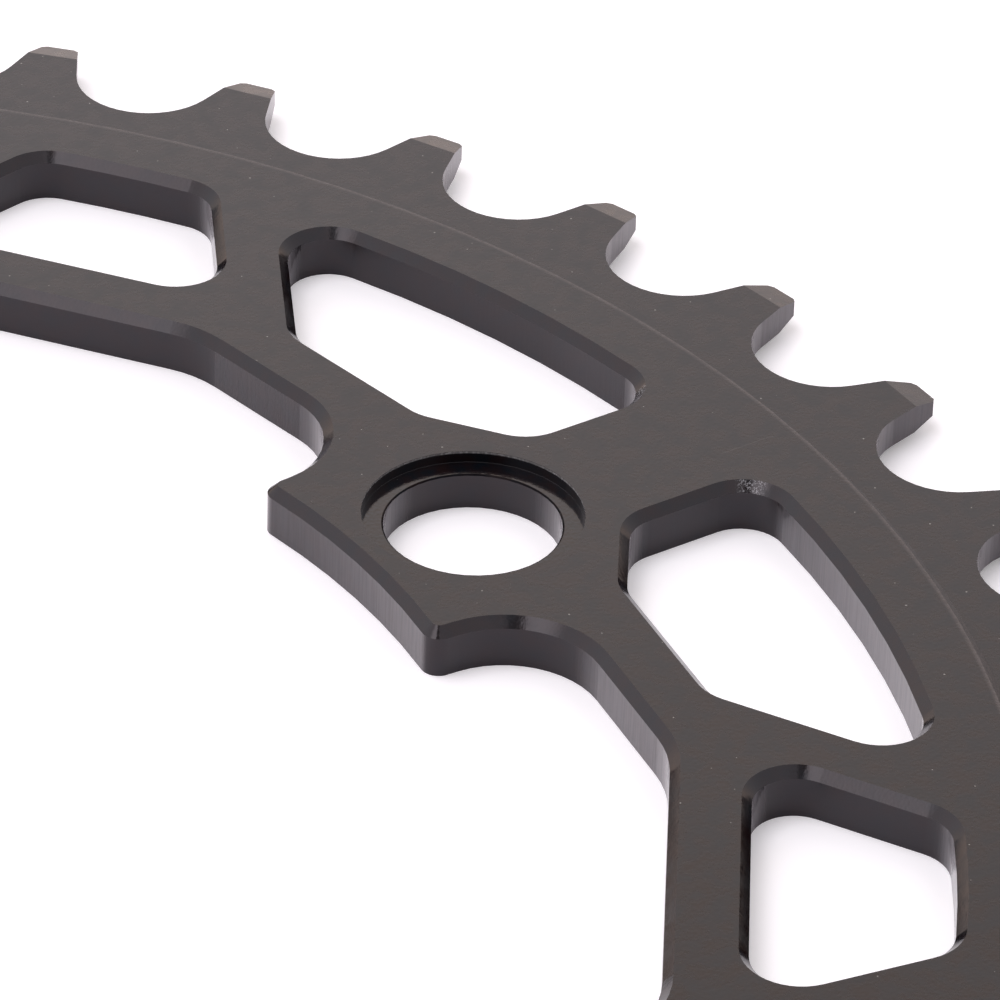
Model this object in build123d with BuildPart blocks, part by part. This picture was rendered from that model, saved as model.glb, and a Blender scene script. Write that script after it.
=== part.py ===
import os
from math import acos, atan, atan2, cos, degrees, hypot, radians, sin

from build123d import *

# A bicycle chainring for a five-arm crank, turned and milled in one piece from aluminium plate.
# Sizes are in millimetres and degrees. The ring lies flat: its axis is Z, its back face is at Z = 0,
# its counterbored front face is uppermost, and the first bolt hole is on +X.

# The chain it drives and the teeth that fit it
chain_pitch = 12.7
tooth_count = 41
seat_radius = 4.4
flank_angle = 15.0
tooth_rise = 2.35
tip_corner_break = 0.25
tooth_phase = 3.23

# The turned section of the plate
thickness = 3.0
tooth_thickness = 1.8
tip_thickness = 0.85
tip_facet_width = 1.8
root_land = 3.1
bevel_angle = 45.0

# The bolts that fix it to the crank's arms
bolt_circle = 110.0
bolt_count = 5
bolt_hole = 10.1
counterbore = 12.6
counterbore_depth = 0.75

# The tab round each bolt, which seats on the shoulder of a crank arm
tab_reach = 7.8
tab_width = 17.7
tab_flare = 3.9
tab_corner_radius = 1.0
tab_shoulder = 2.4
boss_radius = 8.8

# The band that joins the tabs round the inside: flats beside each tab and one between tabs
side_flat_inset = 0.1
side_flat_turn = 9.3
middle_flat_outset = 1.0
band_width = 4.4
band_bend_radius = 7.0

# The spokes from the band out to the toothed rim, and the windows between them
bolt_spoke_width = 10.2
spoke_width = 4.2
spoke_foot_angle = 22.1
spoke_lean = 39.1
rim_width = 7.35
window_corner_radius = 2.5

# Edges broken by the cutter
front_chamfer = 0.56
hole_chamfer = 0.06

# Circles that follow from the chain and the bolts
half_pitch_angle = 180.0 / tooth_count
pitch_radius = chain_pitch / 2 / sin(radians(half_pitch_angle))
root_radius = pitch_radius - seat_radius
tip_radius = pitch_radius + tooth_rise
land_radius = root_radius - root_land
window_outer_radius = root_radius - rim_width
bolt_radius = bolt_circle / 2
tab_inner_radius = bolt_radius - tab_reach
tab_fillet = tab_reach - tab_shoulder
half_sector = 180.0 / bolt_count

# Two sizes nearer than this are the same size
same_size = 0.01


def polar(radius, angle):
    """The point at a radius and an angle from +X."""
    return (radius * cos(radians(angle)), radius * sin(radians(angle)))


def meet(first, second):
    """Where two straight edges cross; each is the angle of its normal and its distance from the axis."""
    (angle_a, reach_a), (angle_b, reach_b) = first, second
    spread = sin(radians(angle_b - angle_a))
    x = (reach_a * sin(radians(angle_b)) - reach_b * sin(radians(angle_a))) / spread
    y = (reach_b * cos(radians(angle_a)) - reach_a * cos(radians(angle_b))) / spread
    return (x, y)


def meet_circle(edge, radius, side):
    """Where a straight edge reaches a circle about the axis, on the side of its normal asked for."""
    angle, reach = edge
    return polar(radius, angle + side * degrees(acos(reach / radius)))


def mirrored(points):
    """The same points across the bolt's own radius, in the order that carries on round the outline."""
    return [(x, -y) for x, y in reversed(points)]


def turned(points, angle):
    """The same points turned about the axis."""
    return [polar(hypot(x, y), degrees(atan2(y, x)) + angle) for x, y in points]


def from_axis(corner):
    """How far a corner is from the axis, to a hundredth of a millimetre."""
    return round(hypot(corner.X, corner.Y), 2)


def corners_at(outline, radius):
    """The corners of an outline that lie on a circle about the axis."""
    return [v for v in outline.vertices() if abs(from_axis(v) - radius) < same_size]


# Straight edges on the left of the first bolt, as normal angle and distance from the axis
tab_half_angle = degrees(acos(1 - (tab_width / tab_inner_radius) ** 2 / 8))
tab_corner = polar(tab_inner_radius, tab_half_angle)
tab_flank_turn = 90.0 + tab_flare
tab_flank = (
    tab_flank_turn,
    tab_corner[0] * cos(radians(tab_flank_turn)) + tab_corner[1] * sin(radians(tab_flank_turn)),
)
side_flat = (side_flat_turn, bolt_radius - side_flat_inset)
middle_flat = (half_sector, bolt_radius + middle_flat_outset)
side_sill = (side_flat_turn, side_flat[1] + band_width)
middle_sill = (half_sector, middle_flat[1] + band_width)
boss_side = (half_sector, bolt_radius * cos(radians(half_sector)) + boss_radius)
bolt_spoke_side = (90.0, bolt_spoke_width / 2)
spoke_normal = spoke_foot_angle + spoke_lean - 90.0
spoke_foot_radius = side_sill[1]
spoke_reach = spoke_foot_radius * cos(radians(spoke_foot_angle - spoke_normal))
spoke_bolt_side = (spoke_normal, spoke_reach + spoke_width / 2)
spoke_middle_side = (spoke_normal, spoke_reach - spoke_width / 2)

# Corners of the opening and of the windows, going outwards from the first bolt
tab_root = meet(tab_flank, side_flat)
band_bend = meet(side_flat, middle_flat)
side_window = [
    meet(bolt_spoke_side, boss_side),
    meet(boss_side, side_sill),
    meet(side_sill, spoke_bolt_side),
]
side_window_top = meet_circle(spoke_bolt_side, window_outer_radius, 1)
side_window_end = meet_circle(bolt_spoke_side, window_outer_radius, -1)
middle_window_foot = meet(middle_sill, spoke_middle_side)
middle_window_top = meet_circle(spoke_middle_side, window_outer_radius, 1)
middle_window = [middle_window_top, middle_window_foot]
middle_window = middle_window + turned(mirrored(middle_window), 2 * half_sector)

# The midway window narrows outwards, so its corners are rounded by no more than half its outer edge
middle_top_angle = degrees(atan2(middle_window_top[1], middle_window_top[0]))
middle_top_half = window_outer_radius * sin(radians(half_sector - middle_top_angle))
middle_corner_radius = min(window_corner_radius, middle_top_half)

# One tooth gap: a roller seat open to the tips through two straight flanks
flank_turn = flank_angle + half_pitch_angle
flank_length = (tooth_rise + seat_radius) / cos(radians(flank_turn))
with BuildSketch() as tooth_gap:
    with BuildLine():
        seat_end = polar(seat_radius, 90.0 + flank_turn)
        flank_run = polar(flank_length, flank_turn)
        flank_end = (seat_end[0] + flank_run[0], seat_end[1] + flank_run[1])
        ThreePointArc(mirrored([seat_end])[0], (-seat_radius, 0), seat_end)
        Polyline(seat_end, flank_end, mirrored([flank_end])[0], mirrored([seat_end])[0])
    make_face()

# The opening between the bolt tabs, one fifth after another
with BuildSketch() as opening:
    with BuildLine():
        for bolt in range(bolt_count):
            start = bolt * 2 * half_sector
            left = turned([tab_corner, tab_root, band_bend], start)
            right = turned(mirrored([tab_corner, tab_root, band_bend]), start + 2 * half_sector)
            ThreePointArc(
                polar(tab_inner_radius, start - tab_half_angle),
                polar(tab_inner_radius, start),
                left[0],
            )
            Polyline(*left, *right)
    make_face()
    fillet(corners_at(opening, tab_inner_radius), tab_corner_radius)
    fillet(corners_at(opening, hypot(*band_bend)), band_bend_radius)
    fillet(corners_at(opening, hypot(*tab_root)), tab_fillet)

# A window on the left of the bolt, and the one midway between bolts
with BuildSketch() as side_cut:
    with BuildLine():
        Polyline(side_window_end, *side_window, side_window_top)
        top_angle = degrees(atan2(side_window_top[1], side_window_top[0]))
        end_angle = degrees(atan2(side_window_end[1], side_window_end[0]))
        ThreePointArc(
            side_window_top, polar(window_outer_radius, (top_angle + end_angle) / 2), side_window_end
        )
    make_face()
    fillet(side_cut.vertices(), window_corner_radius)
with BuildSketch() as middle_cut:
    with BuildLine():
        Polyline(*middle_window)
        ThreePointArc(middle_window[-1], polar(window_outer_radius, half_sector), middle_window[0])
    make_face()
    fillet(middle_cut.vertices(), middle_corner_radius)
with BuildSketch() as windows:
    add(side_cut.sketch)
    mirror(about=Plane.XZ)
    add(middle_cut.sketch)

# The blank's section: how the tips and the web taper
mid_plane = Plane.XY.offset(thickness / 2)
tooth_step = (thickness - tooth_thickness) / 2
facet_slope = tip_facet_width * 2 / (tooth_thickness - tip_thickness)
facet_angle = degrees(atan(facet_slope))
facet_apex = tip_radius + tip_thickness / 2 * facet_slope

with BuildPart() as chainring:
    # Half the blank: a rim that flat facets thin towards each tip, and a thicker web with a bevelled edge
    with BuildSketch(mid_plane):
        with PolarLocations(0, 1, start_angle=tooth_phase):
            RegularPolygon(facet_apex, tooth_count, major_radius=False)
    extrude(amount=tooth_thickness / 2, taper=facet_angle)
    with BuildSketch(mid_plane.offset(tooth_thickness / 2)):
        Circle(land_radius + tooth_step)
    extrude(amount=tooth_step, taper=bevel_angle)
    mirror(about=mid_plane)

    # The tooth gaps are milled round the edge, and the corners of the tips are broken
    with BuildSketch() as tooth_outline:
        with PolarLocations(0, 1, start_angle=tooth_phase):
            RegularPolygon(tip_radius, tooth_count, major_radius=False)
        with PolarLocations(pitch_radius, tooth_count, start_angle=tooth_phase):
            add(tooth_gap.sketch, mode=Mode.SUBTRACT)
        chamfer(tooth_outline.vertices().group_by(from_axis)[-1], tip_corner_break)
    extrude(amount=thickness, mode=Mode.INTERSECT)

    # The opening and the windows are milled through, and their front edges broken
    with BuildSketch():
        add(opening.sketch)
        with PolarLocations(0, bolt_count):
            add(windows.sketch)
    extrude(amount=thickness, mode=Mode.SUBTRACT)
    front_face = chainring.faces().filter_by(Axis.Z).sort_by(Axis.Z)[-1]
    chamfer(front_face.inner_wires().edges(), front_chamfer)

    # Each bolt hole is drilled and counterbored from the front
    with Locations(Plane.XY.offset(thickness)):
        with PolarLocations(bolt_radius, bolt_count):
            CounterBoreHole(bolt_hole / 2, counterbore / 2, counterbore_depth)
    hole_rims = chainring.edges().filter_by(GeomType.CIRCLE).group_by(lambda e: round(e.radius, 3))
    hole_rims = [rim for rim in hole_rims if abs(rim[0].radius - bolt_hole / 2) < same_size][0]
    chamfer(hole_rims.group_by(Axis.Z)[-1], hole_chamfer)

chainring.part.label = "chainring"
os.makedirs("parts", exist_ok=True)
export_step(chainring.part, "parts/chainring.step")
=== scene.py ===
from math import cos, radians, sin

import bpy
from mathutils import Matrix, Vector


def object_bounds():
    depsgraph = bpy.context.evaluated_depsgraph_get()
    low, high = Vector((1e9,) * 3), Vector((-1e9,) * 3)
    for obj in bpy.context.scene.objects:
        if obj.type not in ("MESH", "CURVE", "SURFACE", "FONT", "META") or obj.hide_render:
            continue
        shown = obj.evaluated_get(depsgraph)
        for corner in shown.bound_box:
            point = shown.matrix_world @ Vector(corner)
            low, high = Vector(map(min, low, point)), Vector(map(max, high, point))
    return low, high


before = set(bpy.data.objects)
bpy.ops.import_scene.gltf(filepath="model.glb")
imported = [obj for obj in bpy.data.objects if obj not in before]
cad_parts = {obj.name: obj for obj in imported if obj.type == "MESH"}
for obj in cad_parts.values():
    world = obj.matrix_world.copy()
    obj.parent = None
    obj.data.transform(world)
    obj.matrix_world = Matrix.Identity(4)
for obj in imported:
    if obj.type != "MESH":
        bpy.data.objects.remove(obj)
cad_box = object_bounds()


# The chainring: one piece of aluminium plate, turned to its section and milled for its teeth, windows and
# bolt tabs, then tumbled and black anodised all over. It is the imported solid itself, with its finish here.
def linear(hex_colour):
    """An sRGB hex colour as linear red, green, blue and alpha."""
    parts = [int(hex_colour[i:i + 2], 16) / 255 for i in (1, 3, 5)]
    return [c / 12.92 if c <= 0.04045 else ((c + 0.055) / 1.055) ** 2.4 for c in parts] + [1.0]


def add(tree, kind, settings=None, **links):
    """Adds a node and gives its first output: settings are its properties and the values of its sockets,
    links feed its inputs by name or by number."""
    made = tree.nodes.new(kind)
    for name, value in (settings or {}).items():
        if isinstance(name, str) and hasattr(made, name):
            setattr(made, name, value)
        else:
            made.inputs[name].default_value = value
    for name, source in links.items():
        key = int(name[1:]) if name[1:].isdigit() else name.replace("_", " ")
        tree.links.new(source, made.inputs[key])
    return next(output for output in made.outputs if output.enabled)


# The sizes that the finish follows, with heights from the back face. The skin is how near to a face a point
# still counts as part of it.
mm = 0.001
face_mm = cad_box[1][2] / mm
tooth_face_mm = 2.4
step_edge_mm = 75.45
step_foot_mm = 76.05
bolt_circle_mm = 110.0
bolt_count = 5
bolt_hole_mm = 10.1
counterbore_mm = 12.6
counterbore_depth_mm = 0.75
counterbore_base_mm = face_mm - counterbore_depth_mm
skin_mm = 0.02

# Black anodised aluminium, tumbled before the dye: a hard oxide film, dyed near black, which shows the eye
# a satin grey by reflection, dark where it is faced squarely and pale where it is seen at a low angle.
# On its walls and edges, painted sheen and painted highlights add to that.
# The film isn't a metal, so it has an IOR of its own.
anodised = bpy.data.materials.new("black_anodised_aluminium_tumbled")
anodised.use_nodes = True
tree = anodised.node_tree
shader = tree.nodes["Principled BSDF"]
shader.inputs["IOR"].default_value = 1.55
shader.inputs["Specular Tint"].default_value = linear("#fff6fe")

# How far each point is from the ring's axis, and from the nearest of the bolts
half_sector = radians(180.0 / bolt_count)
place = add(tree, "ShaderNodeTexCoord").node.outputs["Object"]
place = add(tree, "ShaderNodeVectorMath", {"operation": "SCALE", "Scale": 1 / mm}, _0=place)
along = add(tree, "ShaderNodeSeparateXYZ", _0=place).node.outputs
level_place = add(tree, "ShaderNodeVectorMath", {"operation": "MULTIPLY", 1: (1.0, 1.0, 0.0)}, _0=place)
from_axis = add(tree, "ShaderNodeVectorMath", {"operation": "LENGTH"}, _0=level_place)
bearing = add(tree, "ShaderNodeMath", {"operation": "ARCTAN2"}, _0=along["Y"], _1=along["X"])
bearing = add(tree, "ShaderNodeMath", {"operation": "WRAP", 1: half_sector, 2: -half_sector}, _0=bearing)
ahead_of_bolt = add(tree, "ShaderNodeMath", {"operation": "COSINE"}, _0=bearing)
ahead_of_bolt = add(
    tree, "ShaderNodeMath", {"operation": "MULTIPLY_ADD", 2: -bolt_circle_mm / 2},
    _0=ahead_of_bolt, _1=from_axis,
)
beside_bolt = add(tree, "ShaderNodeMath", {"operation": "SINE"}, _0=bearing)
beside_bolt = add(tree, "ShaderNodeMath", {"operation": "MULTIPLY"}, _0=beside_bolt, _1=from_axis)
by_bolt = add(tree, "ShaderNodeCombineXYZ", _0=ahead_of_bolt, _1=beside_bolt)
from_bolt = add(tree, "ShaderNodeVectorMath", {"operation": "LENGTH"}, _0=by_bolt)

# Which cut made the surface, from how level it lies: 1 on a flat face, 0.7 on a chamfer and 0 on a wall
facing = add(tree, "ShaderNodeNewGeometry").node.outputs["True Normal"]
facing = add(tree, "ShaderNodeVectorMath", {"operation": "ABSOLUTE"}, _0=facing)
level = add(tree, "ShaderNodeSeparateXYZ", _0=facing).node.outputs["Z"]
flat = add(tree, "ShaderNodeMapRange", {"From Min": 0.88, "From Max": 0.92}, Value=level)
wall = add(tree, "ShaderNodeMapRange", {"From Min": 0.4, "From Max": 0.3}, Value=level)

# The counterbores have a cutter of their own
spot_faced = add(
    tree, "ShaderNodeMath", {"operation": "LESS_THAN", 1: counterbore_mm / 2 + skin_mm}, _0=from_bolt
)
for side, height_mm in (
    ("GREATER_THAN", counterbore_base_mm - skin_mm),
    ("LESS_THAN", face_mm - skin_mm),
):
    within = add(tree, "ShaderNodeMath", {"operation": side, 1: height_mm}, _0=along["Z"])
    spot_faced = add(tree, "ShaderNodeMath", {"operation": "MULTIPLY"}, _0=spot_faced, _1=within)

# Tumbling leaves the faces with a fine pebbled grain, drawn about twice as coarse as it is so that it shows.
# Milling leaves the walls and chamfers with lines that run through the plate.
pebble_mm = 0.22
blotch_mm = 1.1
line_mm = 0.16
line_stretch = 25.0
relief_mm = 0.006
pebbles = add(tree, "ShaderNodeTexNoise", {"Scale": 1 / pebble_mm, "Detail": 2.0}, Vector=place)
blotches = add(tree, "ShaderNodeTexNoise", {"Scale": 1 / blotch_mm, "Detail": 4.0}, Vector=place)
through = add(
    tree, "ShaderNodeVectorMath", {"operation": "MULTIPLY", 1: (1.0, 1.0, 1 / line_stretch)}, _0=place
)
lines = add(tree, "ShaderNodeTexNoise", {"Scale": 1 / line_mm, "Detail": 2.0}, Vector=through)
grain = add(tree, "ShaderNodeMix", {"data_type": "FLOAT"}, _0=flat, _2=lines, _3=pebbles)
relief = add(tree, "ShaderNodeBump", {"Strength": 1.0, "Distance": relief_mm * mm}, Height=grain)
tree.links.new(relief, shader.inputs["Normal"])

# The tumbled faces are satin, a little unevenly, and what the cutters left is glossier
face_rough = 0.28
chamfer_rough = 0.14
wall_rough = 0.07
counterbore_rough = 0.1
rough_spread = 0.05
uneven = add(
    tree, "ShaderNodeMapRange",
    {"From Min": 0.3, "From Max": 0.7, "To Min": -rough_spread, "To Max": rough_spread}, Value=blotches,
)
rough = add(tree, "ShaderNodeMix", {"data_type": "FLOAT", 2: chamfer_rough, 3: wall_rough}, _0=wall)
rough = add(tree, "ShaderNodeMix", {"data_type": "FLOAT", 3: face_rough}, _0=flat, _2=rough)
rough = add(tree, "ShaderNodeMath", {"operation": "ADD"}, _0=rough, _1=uneven)
rough = add(tree, "ShaderNodeMix", {"data_type": "FLOAT", 3: counterbore_rough}, _0=spot_faced, _2=rough)
tree.links.new(rough, shader.inputs["Roughness"])

# Where a bolt hole meets its counterbore, its edge has its reflection turned down and shows as a thin dark
# line
hole_edge_mm = 0.09
full_reflection_level = 0.5
dimmed_reflection_level = 0.05
by_hole = add(
    tree, "ShaderNodeMath", {"operation": "LESS_THAN", 1: bolt_hole_mm / 2 + hole_edge_mm}, _0=from_bolt
)
by_base = add(
    tree, "ShaderNodeMath", {"operation": "GREATER_THAN", 1: counterbore_base_mm - hole_edge_mm},
    _0=along["Z"],
)
hole_edge = add(tree, "ShaderNodeMath", {"operation": "MULTIPLY"}, _0=by_hole, _1=by_base)
reflection_level = add(tree, "ShaderNodeMix", {"data_type": "FLOAT", 2: full_reflection_level, 3: dimmed_reflection_level}, _0=hole_edge)
tree.links.new(reflection_level, shader.inputs["Specular IOR Level"])

# A painted sheen on the milled walls: their colour turns pale where they are seen at a low angle,
# a little unevenly along their lines
low_angle = add(tree, "ShaderNodeLayerWeight").node.outputs["Facing"]
painted_sheen = add(tree, "ShaderNodeMapRange", {"From Min": 0.38, "To Max": 0.75}, Value=low_angle)
hatch = add(
    tree, "ShaderNodeMapRange",
    {"From Min": 0.35, "From Max": 0.65, "To Min": 0.88, "To Max": 1.12}, Value=lines,
)
for share in (wall, hatch):
    painted_sheen = add(tree, "ShaderNodeMath", {"operation": "MULTIPLY"}, _0=painted_sheen, _1=share)
painted_sheen = add(tree, "ShaderNodeMath", {"operation": "SUBTRACT", "use_clamp": True}, _0=painted_sheen, _1=spot_faced)

# A painted highlight along the edge of the turned step below the teeth: a pale, broken strip of colour
# for the light that its rounded edge catches
step_highlight_mm = 0.3
step_highlight_fade_mm = 0.25
painted_step_highlight = add(
    tree, "ShaderNodeMapRange",
    {"From Min": step_edge_mm - step_highlight_mm, "From Max": step_edge_mm - step_highlight_mm + step_highlight_fade_mm}, Value=from_axis,
)
on_web = add(tree, "ShaderNodeMath", {"operation": "LESS_THAN", 1: step_foot_mm}, _0=from_axis)
above_teeth = add(
    tree, "ShaderNodeMath", {"operation": "GREATER_THAN", 1: tooth_face_mm + skin_mm}, _0=along["Z"]
)
patchy = add(tree, "ShaderNodeMapRange", {"From Min": 0.3, "From Max": 0.6, "To Min": 0.5}, Value=pebbles)
for share in (on_web, above_teeth, patchy):
    painted_step_highlight = add(tree, "ShaderNodeMath", {"operation": "MULTIPLY"}, _0=painted_step_highlight, _1=share)

# The counterbore's cutter chattered as it left the metal. The broken bright edge along its rim is a painted
# highlight, a pale colour for the light that those marks catch
rim_mm = 0.16
rim_fade_mm = 0.06
painted_rim_glint = add(
    tree, "ShaderNodeMapRange",
    {"From Min": face_mm - rim_mm, "From Max": face_mm - rim_mm + rim_fade_mm}, Value=along["Z"],
)
broken = add(tree, "ShaderNodeMapRange", {"From Min": 0.45, "From Max": 0.65, "To Min": 0.5}, Value=lines)
for share in (spot_faced, broken):
    painted_rim_glint = add(tree, "ShaderNodeMath", {"operation": "MULTIPLY"}, _0=painted_rim_glint, _1=share)

# A painted highlight: a fine pale ring in the corner, just above the counterbore's floor, where the corner
# catches the light
foot_rise_mm = 0.03
foot_width_mm = 0.05
painted_foot_highlight = add(
    tree, "ShaderNodeMath",
    {"operation": "COMPARE", 1: counterbore_base_mm + foot_rise_mm, 2: foot_width_mm / 2}, _0=along["Z"],
)
painted_foot_highlight = add(tree, "ShaderNodeMath", {"operation": "MULTIPLY"}, _0=painted_foot_highlight, _1=spot_faced)

# The chamfer's cutter chattered too, where it turned the tight corner between a bolt spoke and the rim.
# Its marks are painted glints: pale flecks of colour for the light they catch
corner_ahead_mm = 15.3
corner_beside_mm = 5.4
chatter_mm = 1.0
fleck_mm = 0.09
either_side = add(tree, "ShaderNodeMath", {"operation": "ABSOLUTE"}, _0=beside_bolt)
either_side = add(tree, "ShaderNodeCombineXYZ", _0=ahead_of_bolt, _1=either_side)
from_corner = add(
    tree, "ShaderNodeVectorMath", {"operation": "DISTANCE", 1: (corner_ahead_mm, corner_beside_mm, 0.0)},
    _0=either_side,
)
painted_chatter_glints = add(
    tree, "ShaderNodeMapRange", {"From Min": chatter_mm, "From Max": chatter_mm / 2}, Value=from_corner
)
for elsewhere in (flat, wall):
    painted_chatter_glints = add(
        tree, "ShaderNodeMath", {"operation": "SUBTRACT", "use_clamp": True}, _0=painted_chatter_glints, _1=elsewhere
    )
flecks = add(tree, "ShaderNodeTexNoise", {"Scale": 1 / fleck_mm, "Detail": 2.0}, Vector=place)
flecks = add(tree, "ShaderNodeMapRange", {"From Min": 0.5, "From Max": 0.65}, Value=flecks)
painted_chatter_glints = add(tree, "ShaderNodeMath", {"operation": "MULTIPLY"}, _0=painted_chatter_glints, _1=flecks)

# Handling leaves pale specks of dust on the upper face, and one light scratch
dust_mm = 2.2
speck_mm = 0.05
dust = add(
    tree, "ShaderNodeTexVoronoi", {"voronoi_dimensions": "2D", "Scale": 1 / dust_mm}, Vector=place
)
dust_size = add(
    tree, "ShaderNodeMapRange",
    {"From Min": 0.55, "From Max": 0.85, "To Max": speck_mm / dust_mm}, Value=dust.node.outputs["Color"],
)
marks = add(tree, "ShaderNodeMath", {"operation": "LESS_THAN"}, _0=dust, _1=dust_size)
scratch_middle_mm = (72.2, -2.25)
scratch_length_mm = 3.6
scratch_width_mm = 0.06
scratch_share = 0.08
scratch = add(
    tree, "ShaderNodeMath", {"operation": "COMPARE", 1: scratch_middle_mm[0], 2: scratch_length_mm / 2},
    _0=along["X"],
)
across = add(
    tree, "ShaderNodeMath", {"operation": "COMPARE", 1: scratch_middle_mm[1], 2: scratch_width_mm / 2},
    _0=along["Y"],
)
scratch = add(tree, "ShaderNodeMath", {"operation": "MULTIPLY"}, _0=scratch, _1=across)
scratch = add(tree, "ShaderNodeMath", {"operation": "MULTIPLY", 1: scratch_share}, _0=scratch)
marks = add(tree, "ShaderNodeMath", {"operation": "MAXIMUM"}, _0=marks, _1=scratch)
marks = add(tree, "ShaderNodeMath", {"operation": "MULTIPLY"}, _0=marks, _1=flat)

# The dye took unevenly, a little redder here and bluer there, and the marks above lie over it in their order
mottle = add(tree, "ShaderNodeMapRange", {"From Min": 0.35, "From Max": 0.65}, Value=blotches)
colour = add(
    tree, "ShaderNodeMix", {"data_type": "RGBA", 6: linear("#150b0c"), 7: linear("#070c12")}, _0=mottle
)
# Over the dye lie a painted sheen on the walls, painted highlights along the step, the counterbore's rim and
# foot and the chamfer's corners, then the dust and scratch
for shade, where in (
    ("#a29da3", painted_sheen),
    ("#4a4343", painted_step_highlight),
    ("#9c9b9e", painted_rim_glint),
    ("#3c3c3f", painted_foot_highlight),
    ("#8c8b90", painted_chatter_glints),
    ("#8a8784", marks),
):
    colour = add(tree, "ShaderNodeMix", {"data_type": "RGBA", 7: linear(shade)}, _0=where, _6=colour)
tree.links.new(colour, shader.inputs["Base Color"])

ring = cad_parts["chainring"]
ring.data.materials.clear()
ring.data.materials.append(anodised)

# The table: a sheet of matt white card that the ring lies on, wide enough to fill the picture.
# It scatters light evenly, so the eye sees plain white and the ring's own soft shadow where the two touch.
table_size = 3.0
bpy.ops.mesh.primitive_plane_add(size=table_size)
table = bpy.context.object
table.name = "table"
card = bpy.data.materials.new("white_card_matt")
card.use_nodes = True
tree = card.node_tree
tree.nodes.remove(tree.nodes["Principled BSDF"])
paper = add(tree, "ShaderNodeBsdfPrincipled", {"Base Color": linear("#fcf8fe"), "Roughness": 0.35})

# It glows a little for the camera, and less in the ring's reflections, so that its white stays white
seen_glow = 0.22
mirrored_glow = 0.04
ray = add(tree, "ShaderNodeLightPath").node.outputs
shine = add(
    tree, "ShaderNodeMath", {"operation": "MAXIMUM"}, _0=ray["Is Glossy Ray"], _1=ray["Is Transmission Ray"]
)
shine = add(tree, "ShaderNodeMath", {"operation": "MULTIPLY", 1: mirrored_glow}, _0=shine)
shine = add(
    tree, "ShaderNodeMath", {"operation": "MULTIPLY_ADD", 1: seen_glow}, _0=ray["Is Camera Ray"], _2=shine
)
glow = add(tree, "ShaderNodeEmission", {"Color": linear("#ffffff")}, Strength=shine)
lit = add(tree, "ShaderNodeAddShader", _0=paper, _1=glow)
tree.links.new(lit, tree.nodes["Material Output"].inputs["Surface"])
table.data.materials.append(card)

# The studio: a white room all round the table, with pale windows ahead, on the left and over the left
# shoulder, and dark behind the camera and overhead. One softbox hangs a metre above the ring.
camera_heading = 55.2


def towards(turn, height):
    """The direction at an angle to the right of straight ahead of the camera and a height above the table."""
    heading = radians(camera_heading - turn)
    rise = radians(height)
    return Vector((cos(heading) * cos(rise), sin(heading) * cos(rise), sin(rise)))


def patch(turn, height, edge, core, outside=0.0, inside=1.0):
    """A round patch of the room: one value outside its edge and another inside its core, both in degrees."""
    reach = add(
        tree, "ShaderNodeVectorMath", {"operation": "DOT_PRODUCT", 1: towards(turn, height)}, _0=outwards
    )
    reach_ends = {"From Min": cos(radians(edge)), "From Max": cos(radians(core))}
    values = {"To Min": outside, "To Max": inside}
    return add(tree, "ShaderNodeMapRange", {**reach_ends, **values}, Value=reach)


world = bpy.data.worlds.new("white_studio")
bpy.context.scene.world = world
world.use_nodes = True
tree = world.node_tree
room = tree.nodes["Background"]
outwards = add(tree, "ShaderNodeTexCoord").node.outputs["Generated"]

# How bright the room is: paler towards the left, then each window and dark place by its turn, height, edge,
# core and share of light
brightness = patch(-90, 0, 180, 0, 0.79, 1.08)
for turn, height, edge, core, share in (
    (-8, 16, 32, 10, 1.64),
    (-105, 40, 50, 15, 1.22),
    (-150, 54, 25, 0, 2.35),
    (180, 10, 48.7, 31.8, 0.25),
    (-174, 55, 8.5, 5, 0.15),
    (0, 52, 20, 6, 0.68),
    (0, 90, 28, 20, 0.15),
):
    spot = patch(turn, height, edge, core, 1.0, share)
    brightness = add(tree, "ShaderNodeMath", {"operation": "MULTIPLY"}, _0=brightness, _1=spot)
tree.links.new(brightness, room.inputs["Strength"])

# Its paint: white, warmer high up ahead and pinker down along the skirting
warm_patch = patch(0, 48, 17, 2)
skirting = patch(0, 90, 70, 85)
paint = add(
    tree, "ShaderNodeMix", {"data_type": "RGBA", 6: linear("#fcf9fa"), 7: linear("#ffe6c2")}, _0=warm_patch
)
paint = add(tree, "ShaderNodeMix", {"data_type": "RGBA", 7: linear("#f6e2d6")}, _0=skirting, _6=paint)
tree.links.new(paint, room.inputs["Color"])

over_ring = towards(-60, 76)
lamp = bpy.data.lights.new("overhead_softbox", "AREA")
lamp.shape = "SQUARE"
lamp.size = 0.5
lamp.energy = 3.4
softbox = bpy.data.objects.new("overhead_softbox", lamp)
softbox.location = over_ring
softbox.rotation_euler = over_ring.to_track_quat("Z", "Y").to_euler()
bpy.context.scene.collection.objects.link(softbox)

# The camera: a long lens held close, looking down across one bolt tab.
# Its place and angles were fitted to the ring's own outline in the photograph.
lens = bpy.data.cameras.new("camera")
lens.sensor_width = 36.0
lens.lens = 256.585
lens.clip_start = 0.01
lens.clip_end = 20.0
camera = bpy.data.objects.new("camera", lens)
camera.location = (-0.133007, -0.273226, 0.224429)
camera.rotation_euler = (radians(56.3664), radians(-1.66659), radians(-33.6776))
bpy.context.scene.collection.objects.link(camera)
bpy.context.scene.camera = camera
bpy.context.scene.view_settings.view_transform = "Standard"
